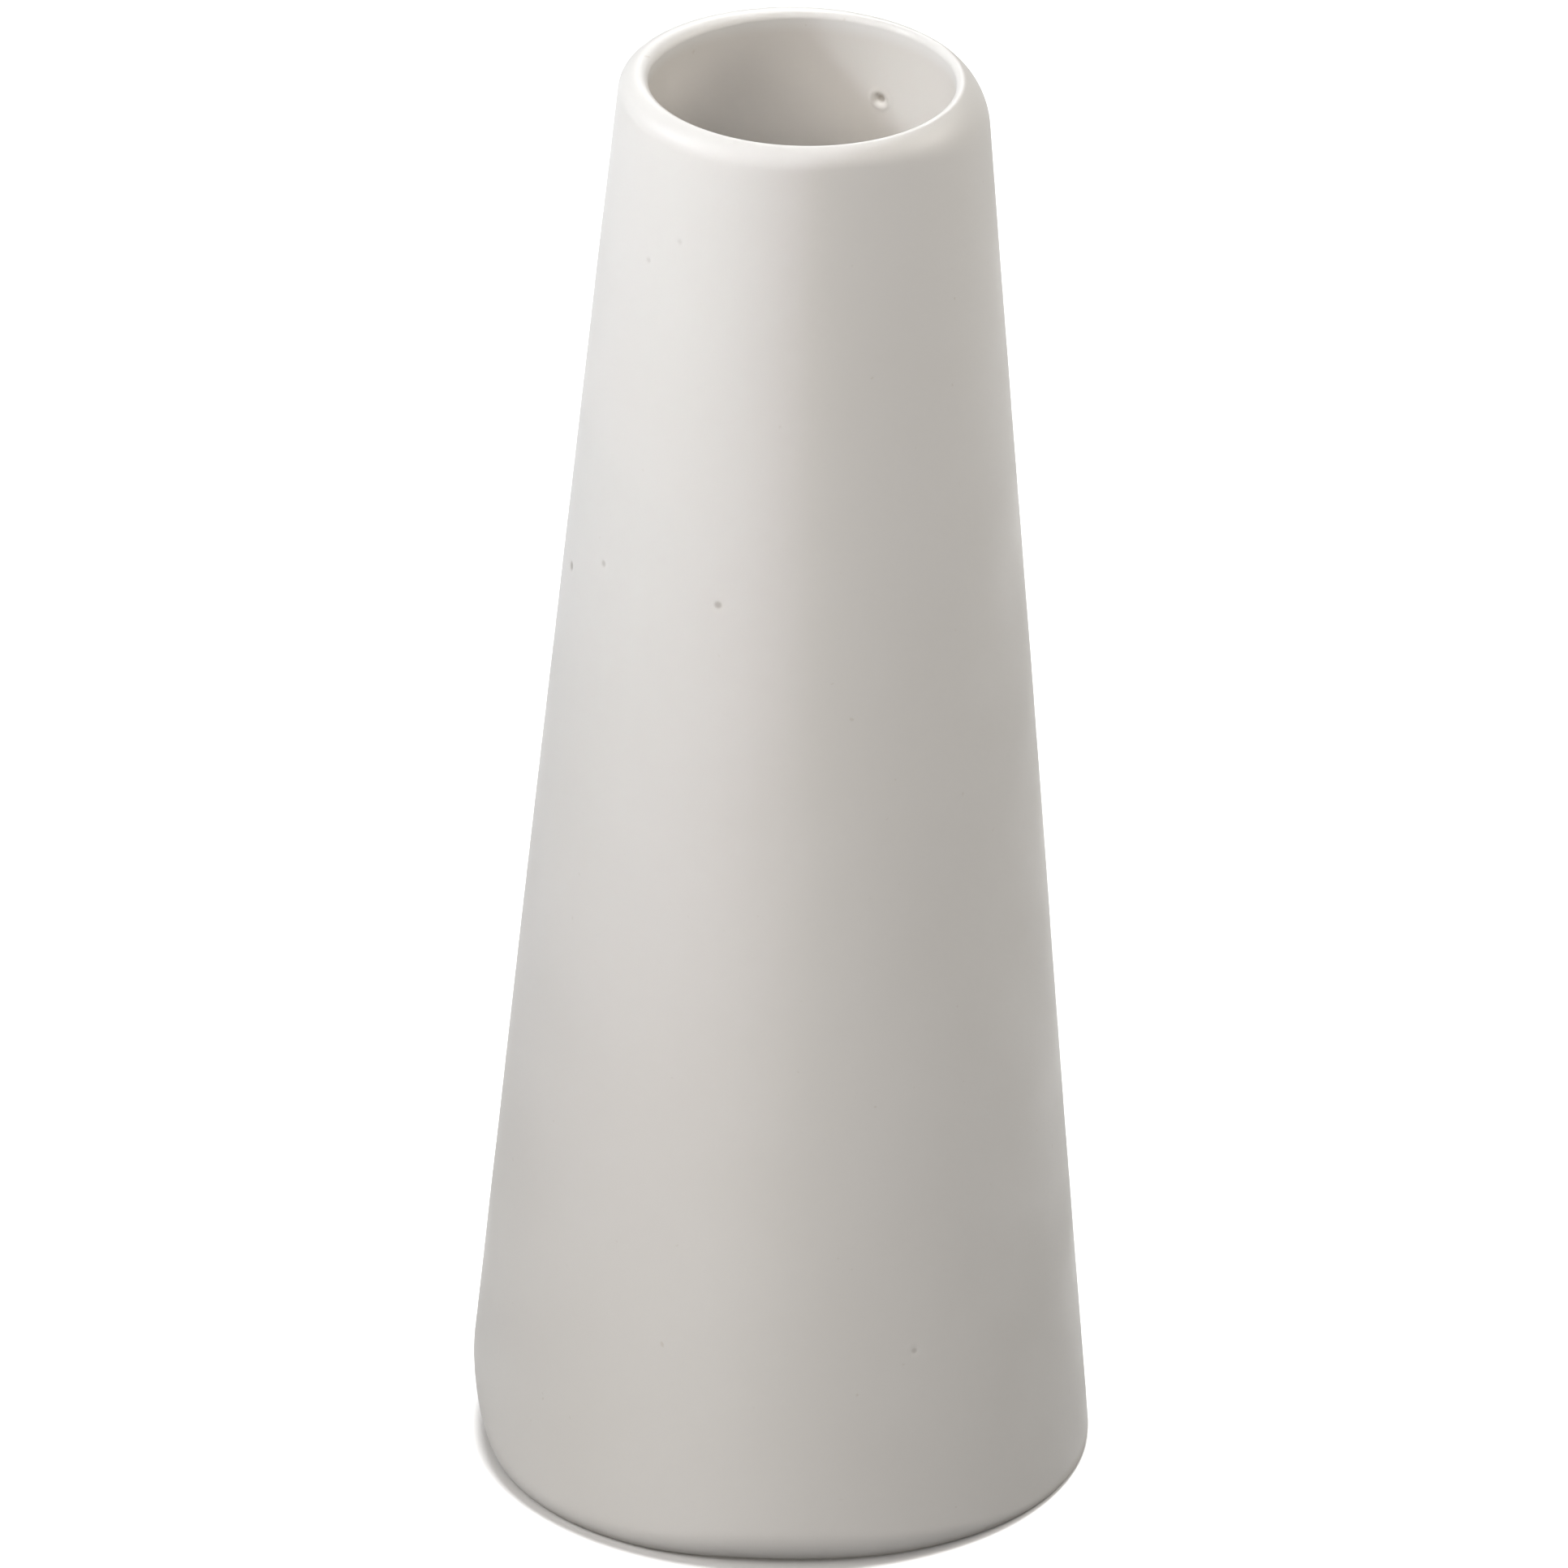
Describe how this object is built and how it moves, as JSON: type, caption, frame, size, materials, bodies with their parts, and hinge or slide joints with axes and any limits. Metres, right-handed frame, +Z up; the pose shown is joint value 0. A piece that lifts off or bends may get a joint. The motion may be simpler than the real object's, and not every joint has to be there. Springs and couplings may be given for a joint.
{
  "type": "bud vase",
  "caption": "Slim tapering white ceramic bud vase with straight sloping sides, a softly rounded lip, a round open mouth and a bare clay foot ring under a rounded base edge.",
  "frame": {"origin": "centre of the foot ring, on the plane that the vase stands on", "axes": "+Z up along the vase's axis of revolution; the vase is the same all the way round, so X and Y are free"},
  "size_m": [0.0636, 0.0636, 0.152],
  "materials": {
    "outer_glaze": "satin white glaze",
    "inner_glaze": "satin white glaze, a little thinner and glossier",
    "base_glaze": "satin white glaze, wiped thin",
    "clay": "bare fired clay, sanded smooth"
  },
  "bodies": {
    "root": {"clay_body": "clay", "outer_glaze": "outer_glaze", "inner_glaze": "inner_glaze", "base_glaze": "base_glaze"}
  },
  "joints": []
}
